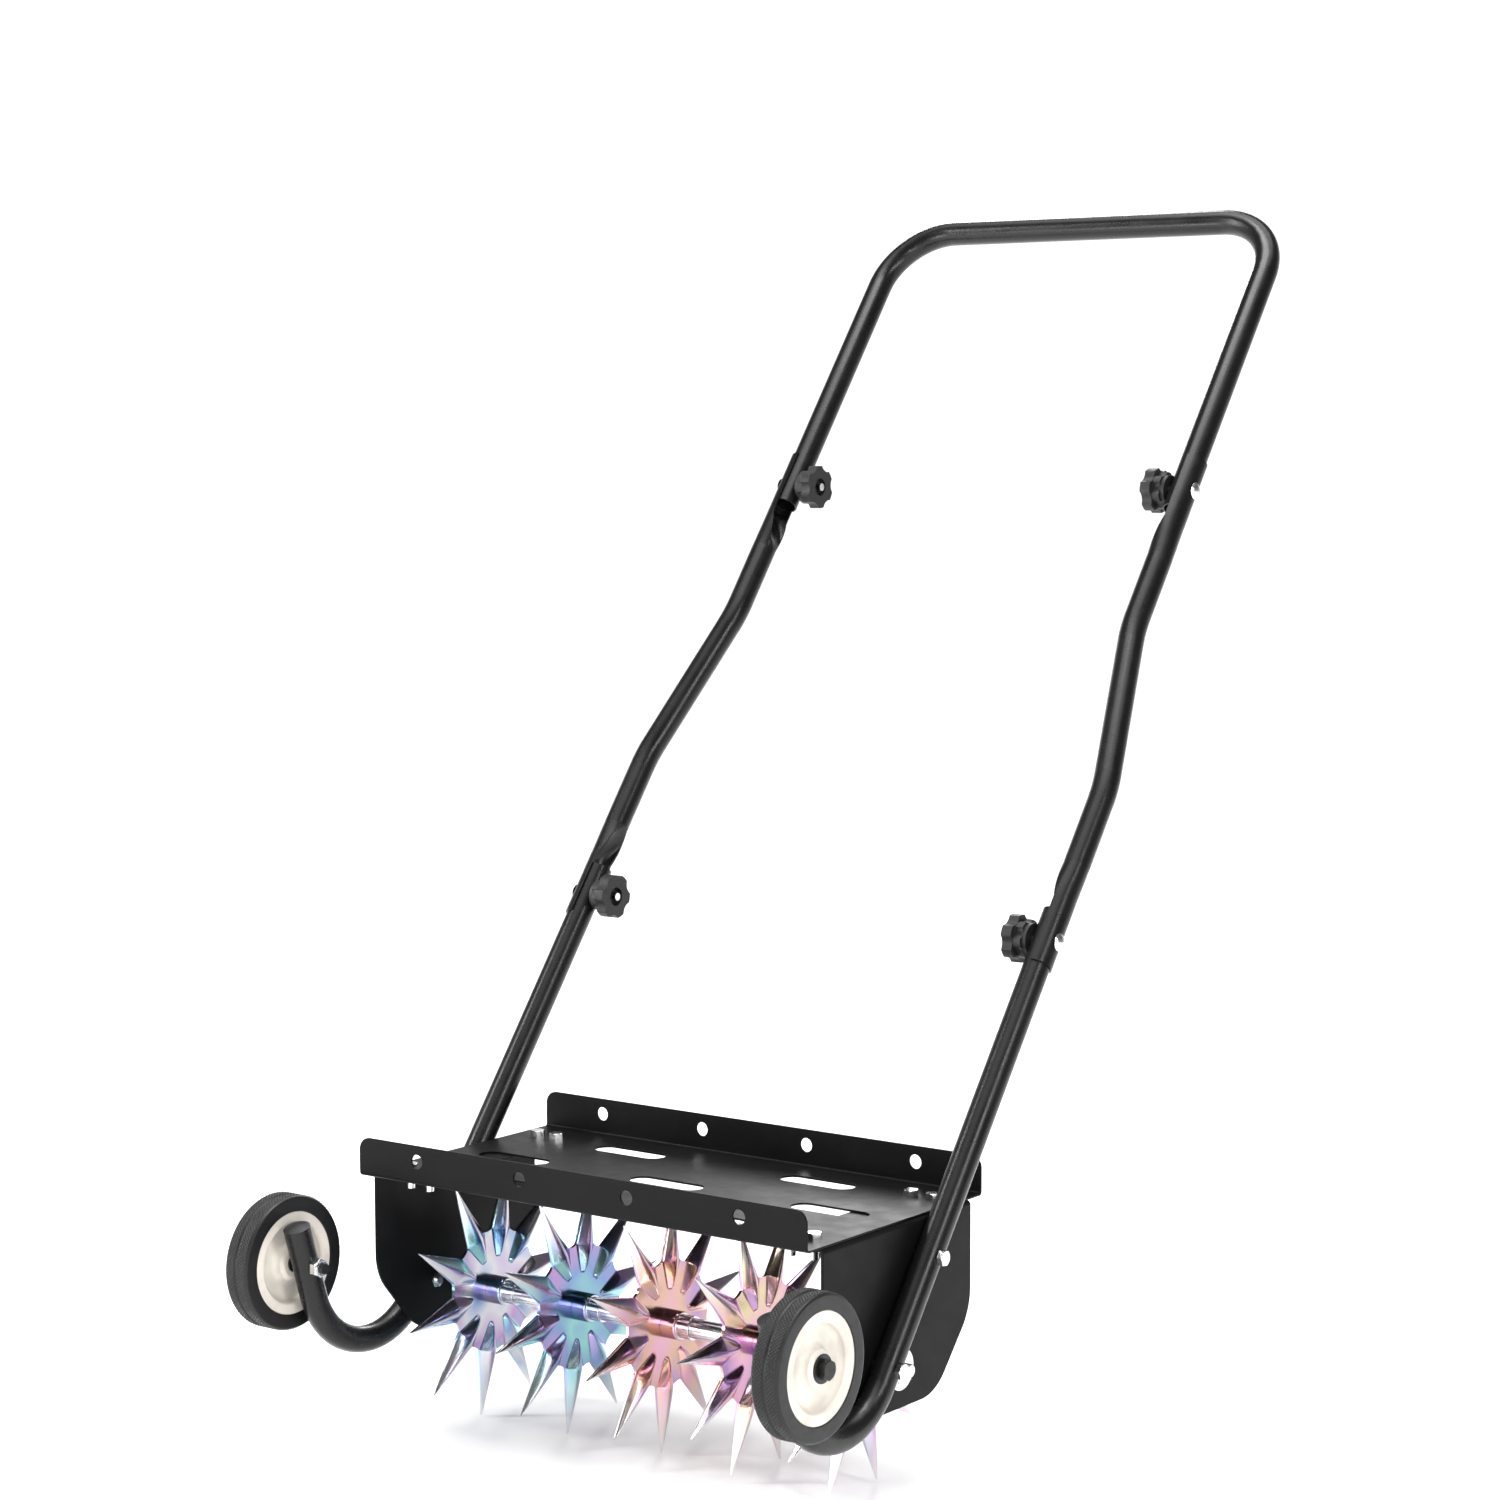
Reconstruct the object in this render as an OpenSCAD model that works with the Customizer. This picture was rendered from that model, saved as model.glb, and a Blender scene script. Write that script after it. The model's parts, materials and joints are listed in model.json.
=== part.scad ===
// Rolling spike aerator for lawns.
// Five free-turning star wheels on one axle under a steel tray, two transport wheels
// on hooked legs in front and a push handle in three pieces behind.
// Millimetres. X is the width, +Y points back towards the handle, +Z is up, ground is z = 0.

/* [Tray] */
// Length of the tray across the machine
tray_l = 516; // [512:1:522]
// Depth of the tray from front flange to rear flange
tray_w = 273; // [268:1:278]
// Height of the turned-up flanges above the underside
flange_h = 37; // [30:1:42]
// Sheet thickness of the tray
tray_t = 2; // [1.5:0.1:3]
// Underside of the tray above the star axle
tray_up = 130; // [129:1:134]
// Corner radius at the flange ends
flange_corner_r = 12; // [6:1:14]
// Diameter of the tie-down holes in the flanges
tie_hole_d = 13.5; // [11:0.1:14]
// Height of the tie-down holes above the underside
tie_hole_up = 22; // [19:1:25]
// Distance from the middle to the inner tie-down holes
tie_inner_x = 62; // [55:1:75]
// Distance from the middle to the outer tie-down holes
tie_outer_x = 186; // [170:1:195]
// Length of the round-ended slots
slot_l = 81; // [70:1:90]
// Width of the round-ended slots
slot_w = 25; // [20:1:28]
// Distance from the middle to the outer slots of the middle row
slot_outer_x = 185; // [180:1:190]
// Distance from the middle to the slots of the front and rear rows
slot_row_x = 111; // [100:1:120]
// Distance from the middle row to the front and rear rows
slot_row_y = 85; // [70:1:90]

/* [Side plates] */
// Sheet thickness of the side plates
plate_t = 3; // [2.5:0.1:3.5]
// Half the depth of a side plate
plate_half_w = 115; // [110:1:118]
// Length of the flange that carries the tray bolts
plate_flange = 62; // [58:1:66]
// Depth of a side plate below the star axle
plate_low = 36; // [32:1:40]

/* [Tubes] */
// Outside diameter of every tube
tube_d = 25.4; // [25:0.1:26]
// Wall thickness of every tube
tube_wall = 1.5; // [1.2:0.1:1.8]
// Lean of the handle back from vertical, degrees
lean = 37; // [35:0.5:39]
// Forward lean of the short wheel leg, degrees
fork_lean = 16.85; // [15:0.05:19]
// Centreline radius of the hook
hook_r = 78.8; // [74:0.1:82]
// Length of the lower tube above axle height, along its own line
lower_len = 474; // [470:1:478]
// Station of the lower handle bolt along the leg line
lower_bolt = 444; // [442:1:446]
// Station of the upper handle bolt along the leg line
upper_bolt = 955.4; // [953:0.1:958]
// Station of the handle bar along the leg line
bar_at = 1299.8; // [1270:0.1:1330]
// Corner radius of the handle bar, centreline
bar_corner_r = 71.6; // [60:0.1:85]
// How far the upper handle stands inside the lower tubes
handle_inset = 34.6; // [32:0.1:36]

/* [Star wheels] */
// Distance between neighbouring stars
star_pitch = 106.5; // [105:0.5:108]
// Radius to the spike tips
star_r = 121.5; // [117:0.5:123]
// Radius of the flat web between the spikes
web_r = 60; // [57:1:63]
// Sheet thickness of a star plate
star_t = 1.5; // [1.2:0.1:2]
// Half the width of a spike at its root
spike_half_w = 13; // [11:0.5:14]
// Height of the spike crease above the middle of the star
crease_h = 9; // [7:0.5:10]
// Diameter of the star axle
axle_d = 12.7; // [12:0.1:13]

/* [Transport wheels] */
// Outside diameter of the tyre
tyre_d = 127; // [122:1:132]
// Width of the tyre
tyre_w = 28; // [26:1:30]
// Diameter of the rim lip
rim_d = 96.6; // [92:0.1:100]
// Distance from axle height up the short leg to the wheel bolt
wheel_up = 56.4; // [52:0.1:60]

/* [Knobs] */
// Diameter over the knob lobes
knob_d = 45; // [42:1:48]
// Number of lobes on a knob
knob_lobes = 6; // [5:1:8]
// Depth of the lobed front of a knob
knob_front = 11; // [9:0.5:13]

/* [Hidden] */
$fn = 64;
black_steel = [0.05, 0.05, 0.055];
black_plastic = [0.035, 0.035, 0.04];
rubber_black = [0.045, 0.045, 0.045];
bright_zinc = [0.78, 0.79, 0.8];
cream = [0.9, 0.87, 0.8];
zinc_blue = [0.55, 0.62, 0.78];
zinc_violet = [0.6, 0.55, 0.75];
zinc_pink = [0.8, 0.62, 0.62];
zinc_gold = [0.82, 0.68, 0.58];
star_colours = [zinc_blue, zinc_blue, zinc_pink, zinc_pink, zinc_violet];

// angle of the first spike of each star above the +Y direction, left star first
star_phase = [8.4, 9.4, 13.2, 32.8, 33.7];
spikes = 10;
spike_step = 360 / spikes;
stars = len(star_phase);
// the lowest spike tip of all the stars stands on the ground
axle_h = max([for (p = star_phase) for (k = [0:spikes - 1]) -star_r * sin(p + k * spike_step)]);

plate_out = tray_l / 2 + 2;
plate_in = plate_out - plate_t;
tube_r = tube_d / 2;
bore_d = tube_d - 2 * tube_wall;
tube_x = plate_out + tube_r;
upper_x = tube_x - handle_inset;
// bends are a hair thicker than the straight runs, which reach a little way into them
bend_grow = 0.1;
bend_lap = 1.5;
leg_y = -46;
fork_y = -178.6;
fork_top = 95.5;

// tangent stations of the hook on the long leg and on the short leg
hook_k1 = fork_y - leg_y + hook_r * (cos(fork_lean) + cos(lean));
hook_k2 = hook_r * (sin(fork_lean) - sin(lean));
leg_start = (cos(fork_lean) * hook_k1 + sin(fork_lean) * hook_k2) / sin(lean + fork_lean);
fork_start = (cos(lean) * hook_k1 - sin(lean) * hook_k2) / sin(lean + fork_lean);
hook_y = leg_y + leg_start * sin(lean) - hook_r * cos(lean);
hook_z = leg_start * cos(lean) + hook_r * sin(lean);
wheel_y = fork_y - wheel_up * sin(fork_lean);
wheel_z = wheel_up * cos(fork_lean);

// the machine is centred front to back between the tyre and the handle bar
rear_y = leg_y + bar_at * sin(lean) + tube_r;
front_y = wheel_y - tyre_d / 2;
row_y = -(rear_y + front_y) / 2;

// middle tube: its axis runs a little outside the tubes it joins
mid_out = 2.8;
mid_low_x = tube_x + mid_out;
mid_high_x = upper_x + mid_out;
cradle_in_r = tube_r + 0.2;
cradle_out_r = cradle_in_r + 1.6;
cradle_low = lower_bolt - 26.5;
cradle_low_end = lower_len + 11;
mid_low = cradle_low_end + 41;
jog_low = 611;
jog_high = 790;
jog_r = 150;
jog_x = mid_low_x - mid_high_x;
jog_len = norm([jog_x, jog_high - jog_low]);
jog_a = atan(jog_x / (jog_high - jog_low));
jog_t = jog_r * tan(jog_a / 2);
upper_end = upper_bolt - 24.4;
cradle_high = upper_bolt + 35.2;
cradle_high_end = upper_end - 15;
mid_high = cradle_high_end - 43;

// fasteners
m8_d = 8;
m8_af = 13;
m8_head = 5.3;
m8_nut = 6.5;
m8_hole = 8.8;
tray_bolt_proud = 7;
m10_d = 9.9;
m10_af = 16;
m10_head = 6.4;
m10_nut = 9;
m10_hole = 10.4;
tray_bolt_x = [210, 234];
tray_bolt_y = 92.5;
fix_bolts = [13.8, 122.7];
carriage_d = 7.9;
carriage_head_d = 17;
carriage_head_h = 4;

// hubs and spacers along the star axle, measured from the middle of a star
hub_bore_d = axle_d + 0.1;
hub_neck_d = 22;
hub_collar_d = 27;
hub_back = 8;
hub_collar_end = 18;
hub_end = 32;
spacer_d = 19;
spacer_gap = 0.4;
washer_d = 38;
washer_t = 2.5;
axle_half_l = plate_out + 13;
pin_x = plate_out + washer_t + 3.2;
pin_wire = 1.6;
pin_hole_d = 3.6;
pin_eye_r = 3;
pin_tilt = 20;
pin_spread = 40;
pin_leg_end = 7;

// wheel widths
wheel_gap = 0.4;
flange_t = 2;
bush_d = 14;
bush_flange_d = 25;
bush_inner_flange_d = 17;
wheel_mid_x = tube_x + tube_r + wheel_gap + flange_t + tyre_w / 2 - 0.3;
hub_half_w = tyre_w / 2 - 0.3;
rim_seat_r = 45;
lip_t = 2;

// knob depths, measured from the tube face
knob_gap = 0.3;
knob_hub_d = 31;
knob_hub = 4;
knob_step = 8;
knob_step_d = knob_d * 0.82;
knob_recess_d = 18.6;
knob_recess = 6;
knob_len = knob_gap + knob_hub + knob_step + knob_front;
bolt_proud = 2;
knob_angles = [50, 34, 33, 49];

// ---------------------------------------------------------------- helpers

// Arc of points that rounds the corner at p between the neighbours a and b
function corner_arc(a, p, b, r, n) =
    let (
        u = (a - p) / norm(a - p),
        v = (b - p) / norm(b - p),
        half = acos(u * v) / 2,
        c = p + (u + v) / norm(u + v) * r / sin(half),
        s = p + u * r / tan(half) - c,
        e = p + v * r / tan(half) - c,
        turn = sign(s.x * e.y - s.y * e.x) * (180 - 2 * half),
        start = atan2(s.y, s.x)
    )
    [for (i = [0:n]) c + r * [cos(start + turn * i / n), sin(start + turn * i / n)]];

// Closed outline from corners given as [x, y, radius]
function rounded(list, n = 8) =
    let (m = len(list))
    [for (i = [0:m - 1])
        let (
            p = [list[i].x, list[i].y],
            a = [list[(i + m - 1) % m].x, list[(i + m - 1) % m].y],
            b = [list[(i + 1) % m].x, list[(i + 1) % m].y]
        )
        each list[i].z > 0 ? corner_arc(a, p, b, list[i].z, n) : [p]];

// Places children in the frame whose origin is the middle of the star axle
module at_axle() {
    translate([0, row_y, axle_h]) children();
}

// Places children in the handle frame, whose Z runs up the leg line
module on_leg() {
    at_axle() translate([0, leg_y, 0]) rotate([-lean, 0, 0]) children();
}

module both_sides() {
    children();
    mirror([1, 0, 0]) children();
}

module left_side() {
    mirror([1, 0, 0]) children();
}

// Turns a shape that stands on Z so that it points along +X
module along_x() {
    rotate([0, 90, 0]) children();
}

// Extrudes a flat outline drawn in Y and Z along X, about x = 0
module across(h) {
    rotate([90, 0, 90]) linear_extrude(h, center = true) children();
}

// Extrudes a flat outline drawn in X and Z along Y, about y = 0
module through(h) {
    rotate([90, 0, 0]) linear_extrude(h, center = true) children();
}

// Chamfered hexagon that stands on z = 0
module hexagon(af, h) {
    intersection() {
        cylinder(d = af / cos(30), h = h, $fn = 6);
        cylinder(r1 = af / 2 + 1.8 * h, r2 = af / 2 - 0.1, h = h);
    }
}

// Hexagon bolt: head above z = 0, shank below
module hex_bolt(d, len_under, af, head) {
    hexagon(af, head);
    translate([0, 0, -len_under]) cylinder(d = d, h = len_under + head / 2);
}

// Hexagon nut that stands on z = 0, with a bore a little wider than the bolt
module hex_nut(af, h, bore) {
    difference() {
        hexagon(af, h);
        translate([0, 0, -1]) cylinder(d = bore, h = h + 2);
    }
}

// ---------------------------------------------------------------- tray

function tray_profile() =
    let (h = tray_w / 2, t = tray_t, r = 2)
    rounded([
        [-h, 0, r + t], [h, 0, r + t], [h, flange_h, 0], [h - t, flange_h, 0],
        [h - t, t, r], [-h + t, t, r], [-h + t, flange_h, 0], [-h, flange_h, 0]
    ]);

function tray_face() =
    rounded([
        [-tray_l / 2, -1, 0], [tray_l / 2, -1, 0],
        [tray_l / 2, flange_h, flange_corner_r], [-tray_l / 2, flange_h, flange_corner_r]
    ]);

module slot() {
    square([slot_l - slot_w, slot_w], center = true);
    for (s = [-1, 1]) translate([s * (slot_l - slot_w) / 2, 0]) circle(d = slot_w);
}

module tray_deck() {
    color(black_steel) at_axle() translate([0, 0, tray_up]) difference() {
        intersection() {
            across(tray_l) polygon(tray_profile());
            through(tray_w + 2) polygon(tray_face());
        }
        for (x = [-tie_outer_x, -tie_inner_x, tie_inner_x, tie_outer_x])
            translate([x, 0, tie_hole_up]) rotate([90, 0, 0])
                cylinder(d = tie_hole_d, h = tray_w + 10, center = true);
        for (p = [[0, 0], [-slot_outer_x, 0], [slot_outer_x, 0]])
            translate([p.x, p.y, -1]) linear_extrude(tray_t + 2) slot();
        for (sx = [-1, 1]) for (sy = [-1, 1])
            translate([sx * slot_row_x, sy * slot_row_y, -1]) linear_extrude(tray_t + 2) slot();
        tray_bolt_places(-1) cylinder(d = m8_hole, h = tray_t + 2);
    }
}

// The eight bolts that hold the tray, at height z above the underside
module tray_bolt_places(z) {
    for (sx = [-1, 1]) for (sy = [-1, 1]) for (x = tray_bolt_x)
        translate([sx * x, sy * tray_bolt_y, z]) children();
}

module tray_bolts() {
    tray_bolt_len = tray_t + plate_t + m8_nut + tray_bolt_proud;
    color(bright_zinc) at_axle() translate([0, 0, tray_up])
        tray_bolt_places(tray_t) hex_bolt(m8_d, tray_bolt_len, m8_af, m8_head);
}

module tray_nuts() {
    color(bright_zinc) at_axle() translate([0, 0, tray_up])
        tray_bolt_places(-plate_t) mirror([0, 0, 1]) hex_nut(m8_af, m8_nut, m8_d + 0.1);
}

// ---------------------------------------------------------------- side plates

function plate_bend() =
    rounded([
        [plate_out, -2 * plate_low, 0], [plate_out, tray_up, plate_t + 2],
        [plate_out - plate_flange, tray_up, 0],
        [plate_out - plate_flange, tray_up - plate_t, 0],
        [plate_in, tray_up - plate_t, 2], [plate_in, -2 * plate_low, 0]
    ]);

function plate_face() =
    let (w = plate_half_w)
    rounded([
        [w, tray_up, 0], [w, 30, 55], [w - 57, -plate_low, 50],
        [57 - w, -plate_low, 50], [-w, 30, 55], [-w, tray_up, 0]
    ], 16);

module side_plate() {
    color(black_steel) difference() {
        at_axle() intersection() {
            through(2 * plate_half_w + 2) polygon(plate_bend());
            translate([plate_out - plate_flange / 2, 0, 0])
                across(plate_flange + 2) polygon(plate_face());
        }
        at_axle() translate([0, 0, tray_up]) tray_bolt_places(-plate_t - 1)
            cylinder(d = m8_hole, h = plate_t + 2);
        at_axle() translate([plate_in - 1, 0, 0]) along_x()
            cylinder(d = axle_d + 0.4, h = plate_t + 2);
        on_leg() for (s = fix_bolts) translate([plate_in - 1, 0, s]) along_x()
            cylinder(d = m8_hole, h = plate_t + 2);
    }
}

module side_plate_right() {
    side_plate();
}

module side_plate_left() {
    left_side() side_plate();
}

// ---------------------------------------------------------------- lower tubes

// Solid bar of diameter d along the centreline of a lower tube; grow lengthens both ends
module lower_path(d, grow) {
    on_leg() translate([tube_x, 0, leg_start - bend_lap])
        cylinder(d = d, h = lower_len - leg_start + bend_lap + grow);
    at_axle() translate([tube_x, hook_y, hook_z]) rotate([90, 0, 90])
        rotate([0, 0, fork_lean - 180]) rotate_extrude(angle = 180 - lean - fork_lean)
            translate([hook_r, 0]) circle(d = d + bend_grow);
    at_axle() translate([tube_x, fork_y, 0]) rotate([fork_lean, 0, 0])
        translate([0, 0, fork_start - bend_lap])
            cylinder(d = d, h = fork_top - fork_start + bend_lap + grow);
}

module lower_tube() {
    color(black_steel) difference() {
        lower_path(tube_d, 0);
        lower_path(bore_d, 1);
        on_leg() for (s = concat(fix_bolts, [lower_bolt]))
            translate([tube_x, 0, s]) along_x() cylinder(d = m8_hole, h = 2 * tube_d, center = true);
        at_axle() translate([tube_x, wheel_y, wheel_z]) along_x()
            cylinder(d = m10_hole, h = 2 * tube_d, center = true);
    }
}

module lower_tube_right() {
    lower_tube();
}

module lower_tube_left() {
    left_side() lower_tube();
}

module tube_end_caps() {
    cap_h = 2.4;
    crown = 3;
    dome_r = (tube_r * tube_r + crown * crown) / (2 * crown);
    color(black_plastic) both_sides()
        at_axle() translate([tube_x, fork_y, 0]) rotate([fork_lean, 0, 0])
            translate([0, 0, fork_top]) {
                intersection() {
                    cylinder(r = tube_r, h = cap_h + crown);
                    translate([0, 0, cap_h + 1 - dome_r]) sphere(dome_r, $fn = 96);
                }
                translate([0, 0, -12]) cylinder(d = bore_d - 0.1, h = 12 + cap_h / 2);
            }
}

module tube_bolts() {
    color(bright_zinc) both_sides() on_leg() for (s = fix_bolts)
        translate([tube_x + tube_r, 0, s]) along_x()
            hex_bolt(m8_d, tube_d + plate_t + m8_nut + 3, m8_af, m8_head);
}

module tube_nuts() {
    color(bright_zinc) both_sides() on_leg() for (s = fix_bolts)
        translate([plate_in, 0, s]) rotate([0, -90, 0]) hex_nut(m8_af, m8_nut, m8_d + 0.1);
}

// ---------------------------------------------------------------- star axle

module spike_axle() {
    color(bright_zinc) at_axle() difference() {
        along_x() union() {
            cylinder(d = axle_d, h = 2 * axle_half_l - 2, center = true);
            for (s = [-1, 1]) mirror([0, 0, s < 0 ? 1 : 0]) translate([0, 0, axle_half_l - 1])
                cylinder(d1 = axle_d, d2 = axle_d - 2, h = 1);
        }
        for (s = [-1, 1]) translate([s * pin_x, 0, 0]) rotate([pin_tilt, 0, 0])
            cylinder(d = pin_hole_d, h = 2 * axle_d, center = true);
    }
}

module axle_washers() {
    color(bright_zinc) both_sides() at_axle() translate([plate_out, 0, 0]) along_x() difference() {
        cylinder(d = washer_d, h = washer_t);
        translate([0, 0, -1]) cylinder(d = axle_d + 0.3, h = washer_t + 2);
    }
}

// Split pin: two legs side by side, an eye above and spread ends below the axle
module split_pin() {
    eye_wire = pin_wire + 0.3;
    leg_x = pin_wire / 2 - 0.1;
    reach = axle_d / 2 + 2;
    translate([0, 0, reach + pin_eye_r]) rotate([90, 0, 0])
        rotate_extrude() translate([pin_eye_r, 0]) circle(d = eye_wire);
    for (s = [-1, 1]) {
        translate([s * leg_x, 0, -reach]) cylinder(d = pin_wire, h = 2 * reach);
        translate([s * leg_x, 0, 0.7 - reach]) rotate([0, s * (180 - pin_spread), 0])
            cylinder(d = pin_wire - 0.2, h = pin_leg_end);
    }
}

module cotter_pins() {
    color(bright_zinc) both_sides() at_axle() translate([pin_x, 0, 0])
        rotate([pin_tilt, 0, 0]) rotate([0, 0, 90]) split_pin();
}

// Spacer tube on the star axle between two stations
module spacer(x0, x1) {
    translate([x0, 0, 0]) along_x() difference() {
        cylinder(d = spacer_d, h = x1 - x0);
        translate([0, 0, -1]) cylinder(d = hub_bore_d, h = x1 - x0 + 2);
    }
}

function star_x(i) = (i - (stars - 1) / 2) * star_pitch;

module axle_spacers() {
    color(bright_zinc) at_axle() {
        spacer(-plate_in, star_x(0) - hub_back - spacer_gap);
        for (i = [0:stars - 2])
            spacer(star_x(i) + hub_end + spacer_gap, star_x(i + 1) - hub_back - spacer_gap);
        spacer(star_x(stars - 1) + hub_end + spacer_gap, plate_in);
    }
}

// ---------------------------------------------------------------- stars

// Pressed spike lying along +X: a kite-shaped shell with a creased crest
// end_x, end_r: rounded inner end; w: half width at the root; tip: tip radius
// base, rim, tip_z: bottom and edge heights; crest_in, crest: crest heights
module spike_solid(end_x, end_r, w, tip, base, rim, tip_z, crest_in, crest) {
    arc_n = 4;
    arc_from = 100;
    arc_step = 160 / arc_n;
    ring = concat(
        [for (i = [0:arc_n]) let (a = arc_from + arc_step * i) [end_x + end_r * cos(a), end_r * sin(a)]],
        [[web_r, -w], [tip, 0], [web_r, w]]
    );
    n = len(ring);
    tip_i = arc_n + 2;
    points = concat(
        [for (p = ring) [p.x, p.y, base]],
        [for (i = [0:n - 1]) [ring[i].x, ring[i].y, i == tip_i ? tip_z : rim]],
        [[end_x + end_r, 0, crest_in], [web_r, 0, crest]]
    );
    inner = 2 * n;
    outer = 2 * n + 1;
    faces = concat(
        [[for (i = [0:n - 1]) i]],
        [for (i = [0:n - 1]) let (j = (i + 1) % n) [i, i + n, j + n]],
        [for (i = [0:n - 1]) let (j = (i + 1) % n) [i, j + n, j]],
        [for (i = [0:arc_n - 1]) [i + n, inner, i + 1 + n]],
        [
            [arc_n + n, inner, outer], [arc_n + n, outer, arc_n + 1 + n],
            [arc_n + 1 + n, outer, tip_i + n], [tip_i + n, outer, tip_i + 1 + n],
            [tip_i + 1 + n, outer, n], [n, outer, inner]
        ]
    );
    polyhedron(points = points, faces = faces, convexity = 4);
}

// One pressed star plate in the plane z = 0, creases towards +Z, first spike at the phase angle
module pressed_star(phase) {
    end_x = 35;
    end_r = 4;
    nose_h = 4.5;
    tip_h = 0.8;
    wall = 1.9;
    in_x = end_x + 1.5;
    in_r = end_r - 1.5;
    in_w = spike_half_w - 2;
    in_tip = star_r - 14;
    difference() {
        union() {
            cylinder(r = web_r, h = star_t);
            for (k = [0:spikes - 1]) rotate([0, 0, phase + k * spike_step])
                spike_solid(end_x, end_r, spike_half_w, star_r, 0, star_t, tip_h, nose_h, crease_h);
        }
        for (k = [0:spikes - 1]) rotate([0, 0, phase + k * spike_step])
            spike_solid(in_x, in_r, in_w, in_tip, -1, -0.2, -0.2, nose_h - wall, crease_h - wall);
        translate([0, 0, -1]) cylinder(d = hub_neck_d + 0.1, h = star_t + 2);
    }
}

// side is +1 for the plate that faces +X and -1 for its mirror image
module star_plate(i, side) {
    color(star_colours[i]) at_axle() translate([star_x(i), 0, 0]) mirror([side < 0 ? 1 : 0, 0, 0])
        rotate([90, 0, 90]) pressed_star(star_phase[i]);
}

module star_hub(i) {
    b = hub_bore_d / 2;
    n = hub_neck_d / 2;
    c = hub_collar_d / 2;
    color(star_colours[i]) at_axle() translate([star_x(i), 0, 0]) along_x() rotate_extrude()
        polygon([
            [b, -hub_back], [c - 1, -hub_back], [c, 1 - hub_back], [c, -star_t], [n, -star_t],
            [n, star_t], [c, star_t], [c, hub_collar_end - 1], [c - 1, hub_collar_end],
            [n, hub_collar_end], [n, hub_end], [b, hub_end]
        ]);
}

module star_1_left_plate() { star_plate(0, -1); }
module star_1_right_plate() { star_plate(0, 1); }
module star_1_hub() { star_hub(0); }
module star_2_left_plate() { star_plate(1, -1); }
module star_2_right_plate() { star_plate(1, 1); }
module star_2_hub() { star_hub(1); }
module star_3_left_plate() { star_plate(2, -1); }
module star_3_right_plate() { star_plate(2, 1); }
module star_3_hub() { star_hub(2); }
module star_4_left_plate() { star_plate(3, -1); }
module star_4_right_plate() { star_plate(3, 1); }
module star_4_hub() { star_hub(3); }
module star_5_left_plate() { star_plate(4, -1); }
module star_5_right_plate() { star_plate(4, 1); }
module star_5_hub() { star_hub(4); }

// ---------------------------------------------------------------- transport wheels

module at_wheel() {
    at_axle() translate([wheel_mid_x, wheel_y, wheel_z]) along_x() children();
}

function tyre_half() =
    let (
        r = tyre_d / 2,
        h = tyre_w / 2,
        seat = rim_seat_r + 0.05,
        lip = rim_d / 2 + 0.1,
        under_lip = hub_half_w - lip_t - 0.6,
        groove_w = 1.5,
        groove_r = r - 1.6
    )
    [
        [seat, 0], [seat, under_lip], [lip, under_lip], [lip, h - 0.4],
        [lip + 0.8, h], [r - 2.2, h], [r - 1.2, h - 0.4], [r - 0.5, h - 1.4],
        [r - 0.1, h - 3], [r, h - 5], [r, groove_w + 0.5], [groove_r, groove_w], [groove_r, 0]
    ];

// Full section from the half above the middle plane
function mirrored(half) =
    concat(half, [for (i = [len(half) - 1:-1:0]) if (half[i].y > 0) [half[i].x, -half[i].y]]);

module tyre() {
    color(rubber_black) at_wheel() rotate_extrude($fn = 96) polygon(mirrored(tyre_half()));
}

function rim_half() =
    let (
        b = bush_d / 2 + 0.05,
        l = rim_d / 2,
        w = hub_half_w,
        boss = 13,
        dish_in = 16.4,
        dish_out = 37.4,
        ring_in = 39.6,
        curve = 6.4,
        depth = 6.5,
        steps = 6,
        step = 90 / steps
    )
    concat(
        [[b, 0], [b, w], [boss, w], [boss + 1.4, w - 1]],
        [for (i = [0:steps]) let (a = step * i)
            [dish_in + curve * (1 - cos(a)), w - 2.5 - depth * sin(a)]],
        [for (i = [0:steps]) let (a = step * i)
            [dish_out - curve * (1 - sin(a)), w - 2.5 - depth * cos(a)]],
        [[ring_in - 1, w - 1.2], [ring_in, w - 0.6], [l - 0.4, w - 0.6], [l, w - 1],
         [l, w - lip_t - 0.5], [rim_seat_r, w - lip_t - 0.5], [rim_seat_r, 0]]
    );

module rim() {
    color(cream) at_wheel() rotate_extrude($fn = 96) polygon(mirrored(rim_half()));
}

// Two flanged bushings, one pressed in from each side of the rim
module bushings() {
    sleeve = 12;
    flange_d = [bush_flange_d, bush_inner_flange_d];
    color(black_plastic) at_wheel() for (s = [0, 1]) mirror([0, 0, s]) difference() {
        union() {
            translate([0, 0, hub_half_w - sleeve]) cylinder(d = bush_d, h = sleeve);
            translate([0, 0, hub_half_w]) cylinder(d = flange_d[s], h = flange_t);
        }
        translate([0, 0, hub_half_w - sleeve - 1]) cylinder(d = m10_d + 0.1, h = sleeve + flange_t + 2);
    }
}

module wheel_right_tyre() { tyre(); }
module wheel_right_rim() { rim(); }
module wheel_right_bushings() { bushings(); }
module wheel_left_tyre() { left_side() tyre(); }
module wheel_left_rim() { left_side() rim(); }
module wheel_left_bushings() { left_side() bushings(); }

module wheel_bolts() {
    head_x = wheel_mid_x + hub_half_w + flange_t + wheel_gap;
    color(black_plastic) both_sides() at_axle() translate([head_x, wheel_y, wheel_z]) along_x()
        hex_bolt(m10_d, head_x - tube_x + tube_r + m10_nut + 3.5, m10_af, m10_head);
}

module wheel_nuts() {
    collar = 2.5;
    color(bright_zinc) both_sides() at_axle() translate([tube_x - tube_r, wheel_y, wheel_z])
        rotate([0, -90, 0]) difference() {
            union() {
                hexagon(m10_af, m10_nut - collar);
                cylinder(d = m10_af - 2, h = m10_nut);
            }
            translate([0, 0, -1]) cylinder(d = m10_d + 0.1, h = m10_nut + 2);
        }
}

// ---------------------------------------------------------------- handle

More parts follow.
